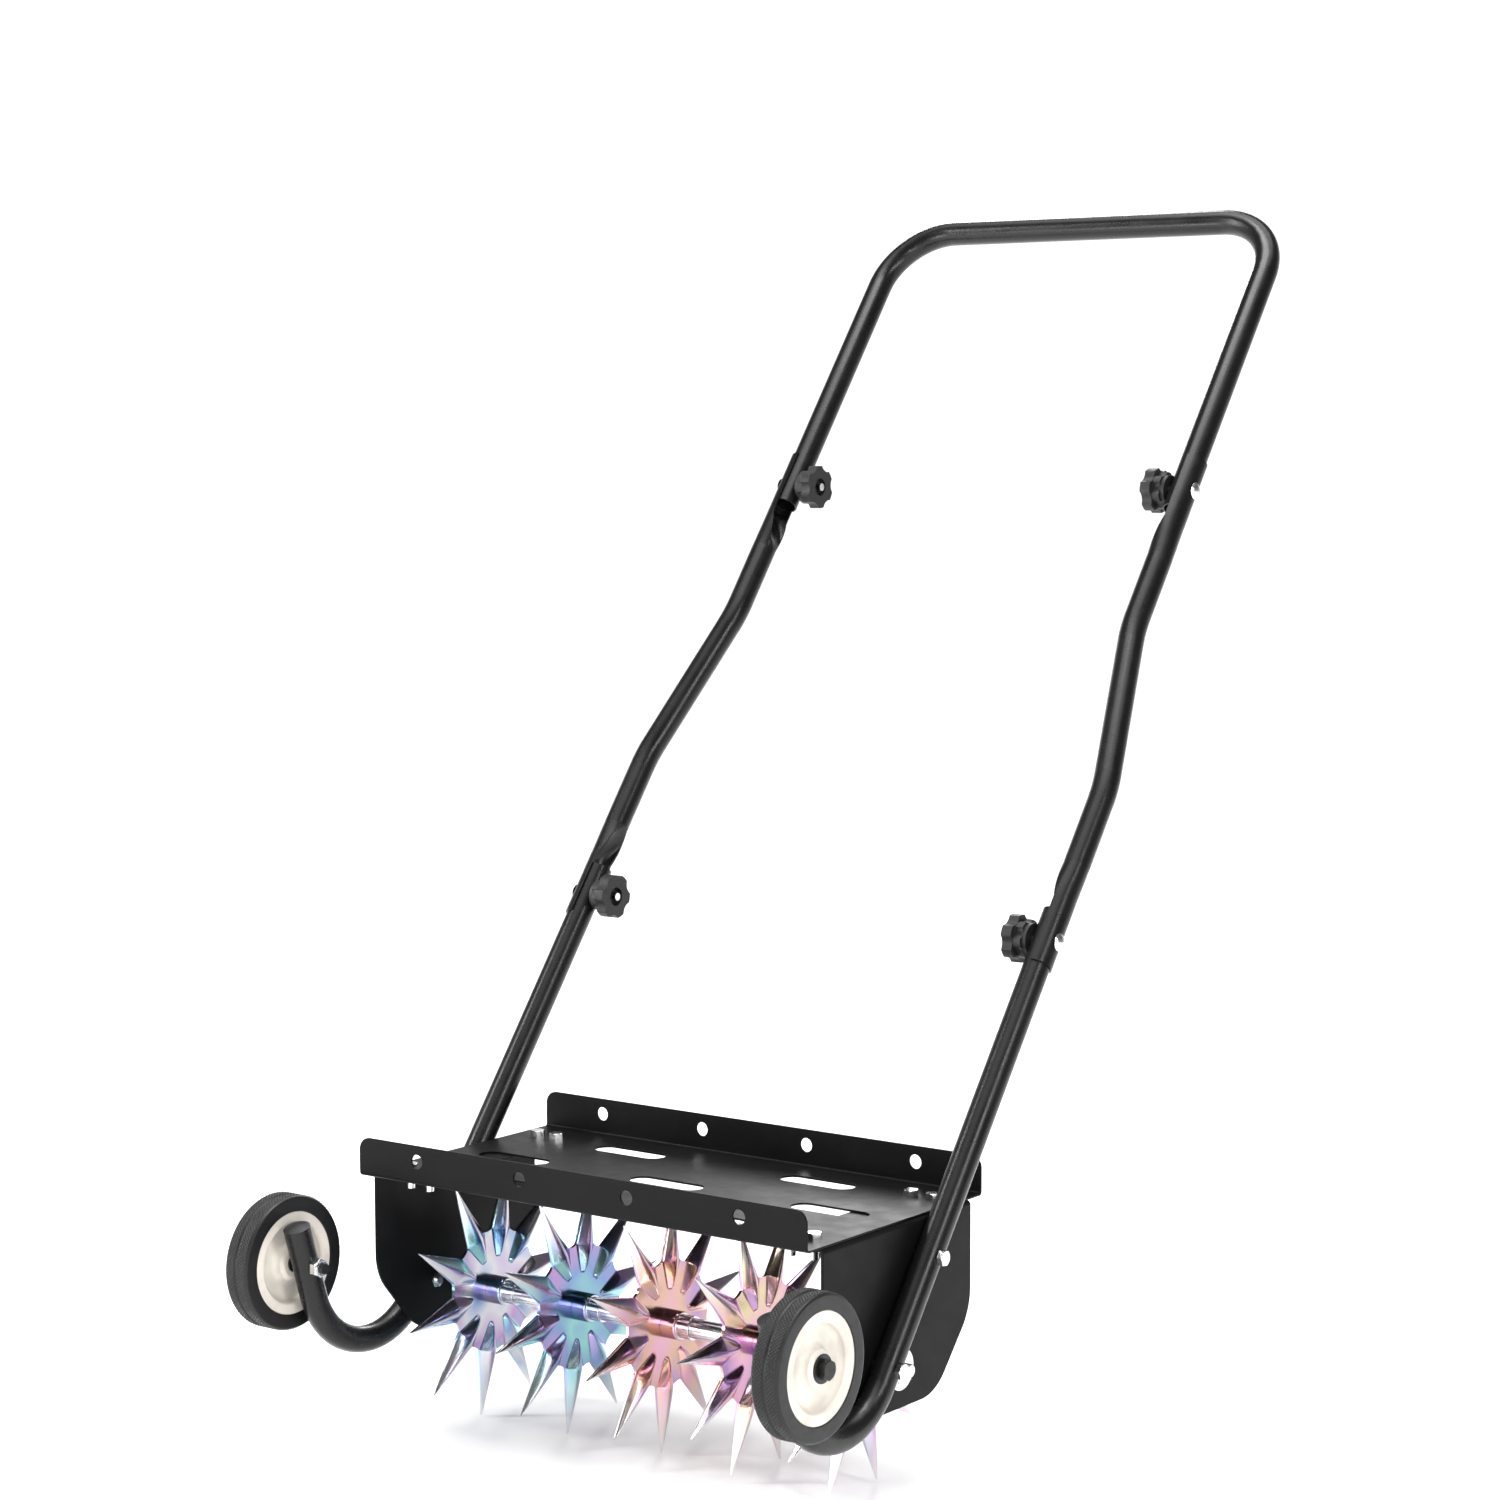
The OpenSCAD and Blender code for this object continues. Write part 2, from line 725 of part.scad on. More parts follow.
// Solid bar along the centreline of the jogged part of a middle tube
module jog_path(d, grow) {
    x1 = mid_low_x - jog_r * (1 - cos(jog_a));
    z_bend = jog_low - jog_t;
    z_top = jog_high + jog_t;
    translate([mid_low_x, 0, mid_low - grow]) cylinder(d = d, h = z_bend - mid_low + bend_lap + grow);
    translate([mid_low_x - jog_r, 0, z_bend]) rotate([90, 0, 0])
        rotate_extrude(angle = jog_a) translate([jog_r, 0]) circle(d = d + bend_grow);
    translate([x1, 0, z_bend + jog_r * sin(jog_a)]) rotate([0, -jog_a, 0])
        translate([0, 0, -bend_lap]) cylinder(d = d, h = jog_len - 2 * jog_t + 2 * bend_lap);
    translate([mid_high_x + jog_r, 0, z_top]) rotate([90, 0, 0])
        rotate([0, 0, 180]) rotate_extrude(angle = jog_a) translate([jog_r, 0]) circle(d = d + bend_grow);
    translate([mid_high_x, 0, z_top - bend_lap]) cylinder(d = d, h = mid_high - z_top + bend_lap + grow);
}

// Half-round trough about x, open towards the middle of the machine
module trough(x, z0, z1) {
    translate([x, 0, z0]) difference() {
        cylinder(r = cradle_out_r, h = z1 - z0);
        translate([0, 0, -1]) cylinder(r = cradle_in_r, h = z1 - z0 + 2);
        translate([-2 * tube_d, -tube_d, -1]) cube([2 * tube_d, 2 * tube_d, z1 - z0 + 2]);
    }
}

// Wall of a trough about xa that closes into a tube about xb between the heights 0 and h.
// Its ends lie just inside the walls they join.
module closing_wall(xa, xb, h) {
    around = 24;
    steps = 10;
    inset = 0.1;
    start_open = 88;
    loop = 2 * (around + 1);
    points = [for (j = [0:steps]) let (
            t = j / steps,
            e = t * t * (3 - 2 * t),
            x = xa + (xb - xa) * e,
            r_in = cradle_in_r + inset + (bore_d / 2 - cradle_in_r) * e,
            r_out = cradle_out_r - inset + (tube_r - cradle_out_r) * e,
            open = start_open + 0.99 * (acos(-t) - 90)
        )
        for (k = [0:loop - 1]) let (
            i = k <= around ? k : loop - 1 - k,
            r = k <= around ? r_out : r_in,
            a = open * (2 * i / around - 1)
        )
        [x + r * cos(a), r * sin(a), h * t]];
    top = steps * loop;
    faces = concat(
        [for (i = [0:around - 1]) [i, i + 1, loop - 2 - i, loop - 1 - i]],
        [for (i = [0:around - 1]) [top + i, top + loop - 1 - i, top + loop - 2 - i, top + i + 1]],
        [for (j = [0:steps - 1]) for (i = [0:loop - 1]) let (b = j * loop, n = (i + 1) % loop)
            [b + i, b + loop + i, b + loop + n]],
        [for (j = [0:steps - 1]) for (i = [0:loop - 1]) let (b = j * loop, n = (i + 1) % loop)
            [b + i, b + loop + n, b + n]]
    );
    polyhedron(points = points, faces = faces, convexity = 6);
}

module middle_tube() {
    lap = 2;
    color(black_steel) on_leg() difference() {
        union() {
            trough(tube_x, cradle_low, cradle_low_end);
            translate([0, 0, cradle_low_end - lap])
                closing_wall(tube_x, mid_low_x, mid_low - cradle_low_end + 2 * lap);
            difference() {
                jog_path(tube_d, 0);
                jog_path(bore_d, 1);
            }
            translate([0, 0, cradle_high_end + lap]) mirror([0, 0, 1])
                closing_wall(upper_x, mid_high_x, cradle_high_end - mid_high + 2 * lap);
            trough(upper_x, cradle_high_end, cradle_high);
        }
        for (p = [[tube_x, lower_bolt], [upper_x, upper_bolt]])
            translate([p.x, 0, p.y]) along_x() cylinder(d = m8_hole, h = 2 * tube_d);
    }
}

module middle_tube_right() {
    middle_tube();
}

module middle_tube_left() {
    left_side() middle_tube();
}

module upper_path(d, grow) {
    corner_x = upper_x - bar_corner_r;
    corner_z = bar_at - bar_corner_r;
    for (s = [0, 1]) mirror([s, 0, 0]) {
        translate([upper_x, 0, upper_end - grow]) cylinder(d = d, h = corner_z - upper_end + grow);
        translate([corner_x, 0, corner_z]) rotate([90, 0, 0])
            rotate_extrude(angle = 90) translate([bar_corner_r, 0]) circle(d = d);
    }
    translate([0, 0, bar_at]) along_x() cylinder(d = d, h = 2 * corner_x, center = true);
}

module upper_handle() {
    color(black_steel) on_leg() difference() {
        upper_path(tube_d, 0);
        upper_path(bore_d, 1);
        for (s = [-1, 1]) translate([s * upper_x, 0, upper_bolt]) along_x()
            cylinder(d = m8_hole, h = 2 * tube_d, center = true);
    }
}

// Round-headed bolt: domed head above z = 0, shank below
module carriage_bolt(len_under) {
    dome_r = (pow(carriage_head_d / 2, 2) + pow(carriage_head_h, 2)) / (2 * carriage_head_h);
    intersection() {
        cylinder(d = carriage_head_d, h = carriage_head_h);
        translate([0, 0, carriage_head_h - dome_r]) sphere(dome_r);
    }
    translate([0, 0, -len_under]) cylinder(d = carriage_d, h = len_under + carriage_head_h / 2);
}

module handle_bolts() {
    under = cradle_out_r + tube_r + knob_len + bolt_proud;
    color(bright_zinc) both_sides() on_leg()
        for (p = [[tube_x, lower_bolt], [upper_x, upper_bolt]])
            translate([p.x + cradle_out_r, 0, p.y]) along_x() carriage_bolt(under);
}

// ---------------------------------------------------------------- knobs

// Lobed outline: a disc with a scallop cut between each pair of lobes
module lobed(d, angle) {
    scallop_r = d * 0.25;
    depth = d * 0.075;
    difference() {
        circle(d = d);
        for (k = [0:knob_lobes - 1]) rotate(angle + (k + 0.5) * 360 / knob_lobes)
            translate([d / 2 - depth + scallop_r, 0]) circle(r = scallop_r);
    }
}

// Knob that stands on the tube face at z = 0, front face at z = knob_len
module knob(angle) {
    difference() {
        union() {
            translate([0, 0, knob_gap]) cylinder(d = knob_hub_d, h = knob_hub + 1);
            translate([0, 0, knob_gap + knob_hub]) linear_extrude(knob_step + 1)
                lobed(knob_step_d, angle + 180 / knob_lobes);
            translate([0, 0, knob_gap + knob_hub + knob_step]) linear_extrude(knob_front)
                lobed(knob_d, angle);
        }
        translate([0, 0, knob_len - knob_recess]) cylinder(d = knob_recess_d, h = knob_recess + 1);
        cylinder(d = carriage_d + 0.1, h = knob_len + 1);
    }
}

// side is -1 for a left knob; the angle is that of a lobe from +Y towards +Z
module placed_knob(side, x, s, angle) {
    color(black_plastic) at_axle() mirror([side < 0 ? 1 : 0, 0, 0])
        translate([x - tube_r, leg_y + s * sin(lean), s * cos(lean)])
            rotate([90, 0, 90]) mirror([0, 0, 1]) knob(angle);
}

module knob_lower_left() {
    placed_knob(-1, tube_x, lower_bolt, knob_angles[0]);
}

module knob_lower_right() {
    placed_knob(1, tube_x, lower_bolt, knob_angles[1]);
}

module knob_upper_left() {
    placed_knob(-1, upper_x, upper_bolt, knob_angles[2]);
}

module knob_upper_right() {
    placed_knob(1, upper_x, upper_bolt, knob_angles[3]);
}

// ---------------------------------------------------------------- assembly

tray_deck();
side_plate_left();
side_plate_right();
tray_bolts();
tray_nuts();
lower_tube_left();
lower_tube_right();
tube_end_caps();
tube_bolts();
tube_nuts();
spike_axle();
axle_washers();
cotter_pins();
axle_spacers();
star_1_left_plate();
star_1_right_plate();
star_1_hub();
star_2_left_plate();
star_2_right_plate();
star_2_hub();
star_3_left_plate();
star_3_right_plate();
star_3_hub();
star_4_left_plate();
star_4_right_plate();
star_4_hub();
star_5_left_plate();
star_5_right_plate();
star_5_hub();
wheel_left_tyre();
wheel_left_rim();
wheel_left_bushings();
wheel_right_tyre();
wheel_right_rim();
wheel_right_bushings();
wheel_bolts();
wheel_nuts();
middle_tube_left();
middle_tube_right();
upper_handle();
handle_bolts();
knob_lower_left();
knob_lower_right();
knob_upper_left();
knob_upper_right();
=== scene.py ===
"""Looks for a rolling spike aerator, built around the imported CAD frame. Metres throughout."""
import json
import math

import bmesh
import bpy
from mathutils import Matrix, Vector


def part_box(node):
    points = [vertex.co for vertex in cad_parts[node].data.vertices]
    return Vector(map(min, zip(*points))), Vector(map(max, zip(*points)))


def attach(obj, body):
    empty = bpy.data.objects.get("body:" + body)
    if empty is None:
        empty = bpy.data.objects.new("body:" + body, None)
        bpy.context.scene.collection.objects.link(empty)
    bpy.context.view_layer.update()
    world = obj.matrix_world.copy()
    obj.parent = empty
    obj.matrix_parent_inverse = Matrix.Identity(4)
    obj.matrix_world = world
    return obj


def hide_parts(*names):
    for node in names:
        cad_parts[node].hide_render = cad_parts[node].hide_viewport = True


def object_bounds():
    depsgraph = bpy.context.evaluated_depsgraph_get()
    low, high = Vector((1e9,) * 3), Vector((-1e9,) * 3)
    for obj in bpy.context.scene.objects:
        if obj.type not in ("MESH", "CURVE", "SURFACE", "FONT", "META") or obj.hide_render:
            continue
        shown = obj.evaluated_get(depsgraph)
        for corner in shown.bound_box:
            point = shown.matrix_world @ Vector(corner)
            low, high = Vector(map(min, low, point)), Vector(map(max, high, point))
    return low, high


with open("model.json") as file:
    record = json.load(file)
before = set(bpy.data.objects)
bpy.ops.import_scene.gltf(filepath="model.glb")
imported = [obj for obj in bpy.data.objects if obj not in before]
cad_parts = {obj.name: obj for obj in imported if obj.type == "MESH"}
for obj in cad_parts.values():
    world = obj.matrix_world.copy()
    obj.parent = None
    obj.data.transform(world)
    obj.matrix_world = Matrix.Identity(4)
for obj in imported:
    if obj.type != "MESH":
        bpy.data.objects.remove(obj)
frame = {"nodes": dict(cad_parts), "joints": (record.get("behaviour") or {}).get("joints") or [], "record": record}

CAD_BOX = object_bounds()
MM = 0.001
NODES = frame["nodes"]
JOINT_AT = {j["name"]: Vector(j["pos_m"]) for j in frame["joints"]}
STAR_NUMBERS = range(1, 6)
SIDES = ("left", "right")


# ---------------------------------------------------------------- helpers

def new_object(name, mesh):
    """An object made from this bmesh and linked to the scene. The bmesh is freed."""
    data = bpy.data.meshes.new(name)
    mesh.to_mesh(data)
    mesh.free()
    obj = bpy.data.objects.new(name, data)
    bpy.context.scene.collection.objects.link(obj)
    return obj


def new_material(name):
    """A material with an empty tree but for its shader and output."""
    mat = bpy.data.materials.new(name)
    mat.use_nodes = True
    tree = mat.node_tree
    return mat, tree, tree.nodes["Principled BSDF"]


def add(tree, kind, inputs=None, **settings):
    """A node of this kind, with its settings, and its inputs set or linked."""
    node = tree.nodes.new(kind)
    for key, value in settings.items():
        setattr(node, key, value)
    for key, value in (inputs or {}).items():
        if isinstance(value, bpy.types.NodeSocket):
            tree.links.new(value, node.inputs[key])
        else:
            node.inputs[key].default_value = value
    return node


def noise(tree, where, scale, detail=3.0, rough=0.55, stretch=None):
    """Noise of this scale per metre, 0 to 1."""
    vector = where
    if stretch:
        vector = add(tree, "ShaderNodeVectorMath", {0: where, 1: stretch}, operation="MULTIPLY").outputs[0]
    return add(tree, "ShaderNodeTexNoise",
               {"Vector": vector, "Scale": scale, "Detail": detail, "Roughness": rough}).outputs["Fac"]


def ramp(tree, fac, stops, mode="LINEAR"):
    """Colour ramp through the stops, given as (place, colour)."""
    node = add(tree, "ShaderNodeValToRGB", {"Fac": fac})
    node.color_ramp.interpolation = mode
    cells = node.color_ramp.elements
    while len(cells) < len(stops):
        cells.new(0.5)
    for cell, (place, colour) in zip(cells, stops):
        cell.position = place
        cell.color = (*colour, 1.0)
    return node.outputs["Color"]


def spread(tree, fac, low, high, start=0.3, end=0.7):
    """Maps the part of a 0 to 1 value between start and end onto low to high."""
    return add(tree, "ShaderNodeMapRange",
               {"Value": fac, "From Min": start, "From Max": end, "To Min": low, "To Max": high}).outputs[0]


def bump(tree, height, depth, strength=1.0, after=None):
    """Bump of this depth in metres, on top of another one if given."""
    inputs = {"Height": height, "Distance": depth, "Strength": strength}
    if after is not None:
        inputs["Normal"] = after
    return add(tree, "ShaderNodeBump", inputs).outputs["Normal"]


def tint(colour, k):
    """The colour made lighter or darker by this factor."""
    return tuple(min(1.0, c * k) for c in colour)


# ---------------------------------------------------------------- materials

def powder_coat(name, colour, rough_low, rough_high, gloss):
    """Satin powder coat: orange peel, slightly uneven gloss and a faint dusty cast."""
    mat, tree, shader = new_material(name)
    at = add(tree, "ShaderNodeTexCoord").outputs["Object"]
    clouds = noise(tree, at, 9.0)
    peel = noise(tree, at, 850.0, detail=1.5)
    grit = noise(tree, at, 2600.0, detail=1.0)
    colours = ramp(tree, clouds, [(0.3, tint(colour, 0.75)), (0.7, tint(colour, 1.3))])
    tree.links.new(colours, shader.inputs["Base Color"])
    tree.links.new(spread(tree, noise(tree, at, 45.0), rough_low, rough_high), shader.inputs["Roughness"])
    first = bump(tree, peel, 0.00012, 0.5)
    tree.links.new(bump(tree, grit, 0.00003, 0.5, first), shader.inputs["Normal"])
    shader.inputs["Specular IOR Level"].default_value = gloss
    return mat


def moulded(name, colour, rough_low, rough_high, gloss, grain=1500.0, grain_depth=0.00008):
    """Moulded plastic or rubber with a fine leathery grain."""
    mat, tree, shader = new_material(name)
    at = add(tree, "ShaderNodeTexCoord").outputs["Object"]
    colours = ramp(tree, noise(tree, at, 30.0), [(0.3, tint(colour, 0.82)), (0.7, tint(colour, 1.15))])
    tree.links.new(colours, shader.inputs["Base Color"])
    tree.links.new(spread(tree, noise(tree, at, 120.0), rough_low, rough_high), shader.inputs["Roughness"])
    skin = add(tree, "ShaderNodeTexVoronoi", {"Vector": at, "Scale": grain}).outputs["Distance"]
    tree.links.new(bump(tree, skin, grain_depth, 0.6), shader.inputs["Normal"])
    shader.inputs["Specular IOR Level"].default_value = gloss
    return mat


def zinc(name, colour, rough_low, rough_high):
    """Bright zinc plate: metal with small spangles of tone and fine rolling marks."""
    mat, tree, shader = new_material(name)
    at = add(tree, "ShaderNodeTexCoord").outputs["Object"]
    colours = ramp(tree, noise(tree, at, 140.0), [(0.3, tint(colour, 0.85)), (0.7, tint(colour, 1.1))])
    tree.links.new(colours, shader.inputs["Base Color"])
    tree.links.new(spread(tree, noise(tree, at, 300.0), rough_low, rough_high), shader.inputs["Roughness"])
    marks = noise(tree, at, 500.0, stretch=(0.1, 1.0, 1.0))
    tree.links.new(bump(tree, marks, 0.00004, 0.5), shader.inputs["Normal"])
    shader.inputs["Metallic"].default_value = 1.0
    return mat


def rainbow_zinc(name, colours, toward, centre):
    """Chromated zinc: the film's colour turns with the slope, drifts, and fades to silver at the tips. Faces that
    look along the axle, the flat web, get painted shade for the dark parts they reflect.
    """
    mat, tree, shader = new_material(name)
    coords = add(tree, "ShaderNodeTexCoord")
    at, facing = coords.outputs["Object"], coords.outputs["Normal"]
    lean = add(tree, "ShaderNodeVectorMath", {0: facing, 1: toward}, operation="DOT_PRODUCT").outputs["Value"]
    local = add(tree, "ShaderNodeVectorMath", {0: at, 1: centre}, operation="SUBTRACT").outputs[0]
    flat = add(tree, "ShaderNodeVectorMath", {0: local, 1: (0, 1, 1)}, operation="MULTIPLY").outputs[0]
    out = add(tree, "ShaderNodeVectorMath", {0: flat}, operation="LENGTH").outputs["Value"]
    along = add(tree, "ShaderNodeMath", {0: add(tree, "ShaderNodeSeparateXYZ", {0: local}).outputs["X"]},
                operation="ABSOLUTE").outputs[0]
    drift = noise(tree, at, 16.0, detail=1.0)
    total = spread(tree, lean, 0.0, 1.3, -1.0, 1.0)
    for part in (spread(tree, drift, 0.0, 0.55, 0.3, 0.7), spread(tree, out, 0.0, 0.45, 0.02, 0.12)):
        total = add(tree, "ShaderNodeMath", {0: total, 1: part}, operation="ADD").outputs[0]
    film = add(tree, "ShaderNodeMath", {0: total}, operation="FRACT").outputs[0]
    stops = [(i / len(colours), c) for i, c in enumerate(colours)] + [(1.0, colours[0])]
    # painted shade: the film colour is darkened where a face looks along the axle (the flat web), standing in for
    # the dark neighbouring plates it reflects
    web_shade_mask = add(tree, "ShaderNodeMath", {0: add(tree, "ShaderNodeSeparateXYZ", {0: facing}).outputs["X"]},
                   operation="ABSOLUTE").outputs[0]
    tone = add(tree, "ShaderNodeVectorMath", {0: ramp(tree, film, stops),
                                              "Scale": spread(tree, web_shade_mask, 1.0, WEB_PAINTED_SHADE, 0.85, 0.98)},
               operation="SCALE").outputs[0]
    silvered = add(tree, "ShaderNodeMath", {0: spread(tree, out, 0.0, 0.9, 0.058, 0.112),
                                            1: spread(tree, along, 0.0, 0.95, 0.0175, 0.0185)},
                   operation="MAXIMUM").outputs[0]
    mixed = add(tree, "ShaderNodeMix", {0: silvered, 6: tone, 7: (*SILVER, 1.0)}, data_type="RGBA").outputs[2]
    tree.links.new(mixed, shader.inputs["Base Color"])
    tree.links.new(spread(tree, noise(tree, at, 90.0), 0.13, 0.2), shader.inputs["Roughness"])
    tree.links.new(bump(tree, noise(tree, at, 260.0, detail=1.0), 0.00003, 0.25), shader.inputs["Normal"])
    shader.inputs["Metallic"].default_value = 1.0
    return mat


def floor_paper(name):
    """Plain pale paper."""
    mat, tree, shader = new_material(name)
    at = add(tree, "ShaderNodeTexCoord").outputs["Object"]
    colours = ramp(tree, noise(tree, at, 3.0), [(0.3, (0.93, 0.93, 0.93)), (0.7, (0.96, 0.96, 0.96))])
    tree.links.new(colours, shader.inputs["Base Color"])
    shader.inputs["Roughness"].default_value = 0.85
    shader.inputs["Specular IOR Level"].default_value = 0.1
    return mat


BLUE, TEAL, VIOLET = (0.27, 0.4, 0.7), (0.34, 0.7, 0.66), (0.56, 0.36, 0.68)
PINK, GOLD, ORANGE = (0.9, 0.5, 0.68), (0.88, 0.74, 0.46), (0.84, 0.56, 0.4)
PALE, SILVER = (0.74, 0.74, 0.78), (0.8, 0.8, 0.81)
# painted shade: how far the flat web faces of the stars are darkened
WEB_PAINTED_SHADE = 0.5
STAR_FILMS = {
    1: [BLUE, PALE, VIOLET, TEAL],
    2: [TEAL, BLUE, VIOLET, BLUE],
    3: [PINK, ORANGE, VIOLET, ORANGE],
    4: [GOLD, PINK, VIOLET, ORANGE],
    5: [VIOLET, PINK, BLUE, PALE],
}

MATERIALS = {
    "black_sheet": powder_coat("powder_coat_sheet", (0.004, 0.004, 0.0042), 0.34, 0.44, gloss=0.08),
    "black_tube": powder_coat("powder_coat_tube", (0.004, 0.004, 0.0043), 0.24, 0.32, gloss=0.3),
    "black_plastic": moulded("knob_plastic", (0.008, 0.008, 0.0083), 0.4, 0.55, gloss=0.35),
    "black_nylon": moulded("nylon", (0.006, 0.006, 0.006), 0.36, 0.46, gloss=0.35),
    "black_rubber": moulded("tyre_rubber", (0.004, 0.004, 0.0042), 0.36, 0.48, gloss=0.34,
                            grain=2500.0, grain_depth=0.00004),
    "cream_plastic": moulded("rim_plastic", (0.6, 0.56, 0.5), 0.34, 0.46, gloss=0.5,
                             grain=900.0, grain_depth=0.00003),
    "black_bolt": zinc("black_oxide", (0.04, 0.04, 0.04), 0.35, 0.5),
    "bright_zinc": zinc("bright_zinc", (0.74, 0.75, 0.76), 0.14, 0.26),
}
for number in STAR_NUMBERS:
    MATERIALS[f"zinc_star_{number}"] = rainbow_zinc(
        f"rainbow_zinc_{number}", STAR_FILMS[number], (0.35, 0.8, 0.48), JOINT_AT[f"star_{number}_spin"])


# ---------------------------------------------------------------- CAD nodes

SOFT_EDGES = {"tray_deck": 0.35, "side_plate_left": 0.4, "side_plate_right": 0.4}
EDGE_BY_SLOT = {"black_plastic": 0.9, "black_nylon": 0.4, "cream_plastic": 0.6, "bright_zinc": 0.25,
                "black_bolt": 0.4, "black_tube": 0.25, "black_sheet": 0.4, "black_rubber": 0.5}
STAR_EDGE = 0.3
REPLACED = {f"star_{n}_{side}_plate" for n in STAR_NUMBERS for side in SIDES}
REPLACED |= {f"wheel_{side}_tyre" for side in SIDES}


def finish_edges(obj, width):
    """Rounds the sharp edges a little and shades the curved faces smoothly."""
    for face in obj.data.polygons:
        face.use_smooth = True
    weld = obj.modifiers.new("weld", "WELD")
    weld.merge_threshold = 0.00001
    soft = obj.modifiers.new("soft_edges", "BEVEL")
    soft.width = width * MM
    soft.segments = 2
    soft.limit_method = "ANGLE"
    soft.angle_limit = math.radians(32)
    soft.use_clamp_overlap = True
    soft.harden_normals = False
    flat = obj.modifiers.new("even_shading", "WEIGHTED_NORMAL")
    flat.weight = 90
    flat.keep_sharp = False


slot_of = {s["node"]: s["material_slot"] for s in frame["record"]["subparts"]}
for node, obj in NODES.items():
    slot = slot_of[node]
    obj.data.materials.clear()
    obj.data.materials.append(MATERIALS[slot])
    if node not in REPLACED:
        finish_edges(obj, SOFT_EDGES.get(node, EDGE_BY_SLOT.get(slot, STAR_EDGE)))


# ---------------------------------------------------------------- pressed star plates

# sizes in millimetres
SPIKES = 10
WEB_R = 60.0
NOSE_AT, NOSE_R = 35.0, 4.0
HUB_HOLE_R = 11.05
SPIKE_HALF_W = 13.0
SHEET = 1.5
RIM_AT_TIP = 0.8
NOSE_CREST = 5.6
CREST_ROUNDING = 0.3
CREST_FALL = 1.3
BACK_GAP = 0.03
# radii of the web's rows, closest together round the noses of the ridges
WEB_ROWS = (HUB_HOLE_R, 20.0, 27.0, 30.5, 31.2, 32.0, 33.0, 34.0, 35.0,
            37.0, 40.0, 44.0, 48.0, 52.0, 56.0, 58.5, WEB_R)
SPIKE_ROWS = 16
ACROSS = tuple(i / 8 for i in range(-8, 9))
GAP_STEPS = 4
# places over the channel that follows a ridge. Past 2 they belong to the next ridge, which is 4 further on
CHANNEL = tuple(1 + (i + 1) / GAP_STEPS for i in range(2 * GAP_STEPS - 1))
EDGE_DIP = 1.2
RIM_ROLL = 0.3
RIM_ROLL_ANGLE = math.radians(55)


def ridge(d):
    """Height across a pressed ridge, 1 on its rounded crest and 0 from its foot outwards."""
    e = CREST_ROUNDING
    d = min(1.0, abs(d))
    return (math.hypot(1, e) - math.hypot(d, e)) / (math.hypot(1, e) - e)


def crest_height(r, top):
    """Crest of the ridge over the web, rising outwards from its nose."""
    share = max(0.0, (r - NOSE_AT) / (WEB_R - NOSE_AT))
    return NOSE_CREST + (top - NOSE_CREST) * share * (2 - share)


def foot_angle(r):
    """Half the angle a ridge takes up at this radius."""
    share = max(0.0, (r - NOSE_AT) / (WEB_R - NOSE_AT))
    return math.asin((NOSE_R + (SPIKE_HALF_W - NOSE_R) * share) / max(r, NOSE_AT))


def web_point(r, v, top):
    """Place and height at this radius. v is -1 to 1 over the ridge, and up to 2 in the channel beside it."""
    foot, half_step = foot_angle(r), math.pi / SPIKES
    if abs(v) <= 1:
        angle = v * foot
        d = v if r >= NOSE_AT else math.hypot(r * math.cos(angle) - NOSE_AT, r * math.sin(angle)) / NOSE_R
        return r, angle, SHEET + (crest_height(r, top) - SHEET) * ridge(d)
    share = abs(v) - 1
    angle = math.copysign(foot + (half_step - foot) * share, v)
    dip = EDGE_DIP * math.sin(math.pi / 2 * share) if r == WEB_R else 0.0
    return r - dip, angle, SHEET


